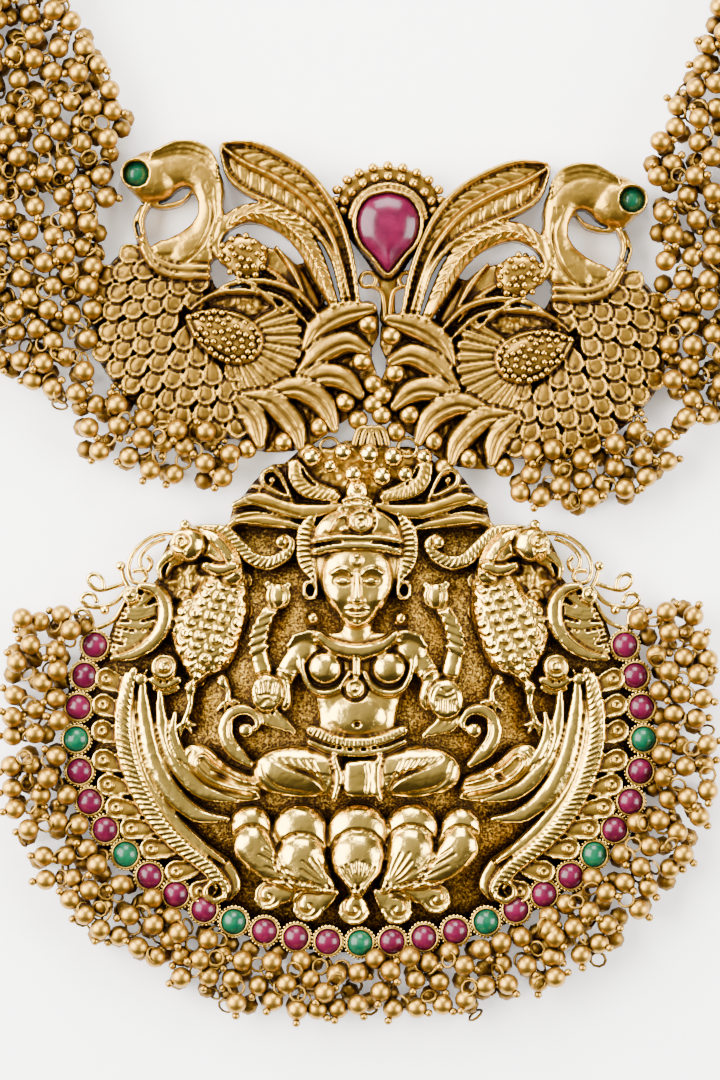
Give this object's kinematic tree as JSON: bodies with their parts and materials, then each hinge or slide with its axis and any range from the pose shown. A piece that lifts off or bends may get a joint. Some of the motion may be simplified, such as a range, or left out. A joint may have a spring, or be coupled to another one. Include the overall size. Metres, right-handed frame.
{
  "type": "statement necklace",
  "caption": "Temple-style collar necklace: an oval relief pendant hangs from a crest of two peacocks, with beaded straps, bead-drop fringes, domed stones and a chain with a hook at the back.",
  "frame": {"origin": "middle of the back of the pendant plate, at the centre of the oval row of border stones, on the surface that the necklace lies on", "axes": "+Y from the pendant up to the clasp at the back of the neck, +Z out of the front of the relief, +X to the right as seen from the front"},
  "size_m": [0.1604, 0.2415, 0.0075],
  "materials": {
    "antique_gold": "antique gold plate, polished on the high relief and dark in the recesses",
    "matte_gold": "matte gold plate on hollow beads",
    "ruby": "smooth domed red glass",
    "emerald": "smooth domed green glass"
  },
  "bodies": {
    "root": {"pendant_plate": "antique_gold", "crest": "antique_gold", "pear_ruby": "ruby", "eye_emerald_left": "emerald", "eye_emerald_right": "emerald", "ruby_left_15": "ruby", "ruby_left_14": "ruby", "ruby_left_13": "ruby", "emerald_left_12": "emerald", "ruby_left_11": "ruby", "ruby_left_10": "ruby", "ruby_left_9": "ruby", "emerald_left_8": "emerald", "ruby_left_7": "ruby", "ruby_left_6": "ruby", "ruby_left_5": "ruby", "emerald_left_4": "emerald", "ruby_left_3": "ruby", "ruby_left_2": "ruby", "ruby_left_1": "ruby", "emerald_bottom": "emerald", "ruby_right_1": "ruby", "ruby_right_2": "ruby", "ruby_right_3": "ruby", "emerald_right_4": "emerald", "ruby_right_5": "ruby", "ruby_right_6": "ruby", "ruby_right_7": "ruby", "emerald_right_8": "emerald", "ruby_right_9": "ruby", "ruby_right_10": "ruby", "ruby_right_11": "ruby", "emerald_right_12": "emerald", "ruby_right_13": "ruby", "ruby_right_14": "ruby", "ruby_right_15": "ruby", "joining_ring_left": "antique_gold", "joining_ring_right": "antique_gold", "fringe_left": "matte_gold", "fringe_bottom": "matte_gold", "fringe_right": "matte_gold", "crest_drops_left": "matte_gold", "crest_drops_right": "matte_gold", "bead_strap_left": "matte_gold", "bead_strap_right": "matte_gold", "back_chain_left": "antique_gold", "back_chain_right": "antique_gold", "clasp_hook": "antique_gold", "clasp_ring": "antique_gold"}
  },
  "joints": []
}
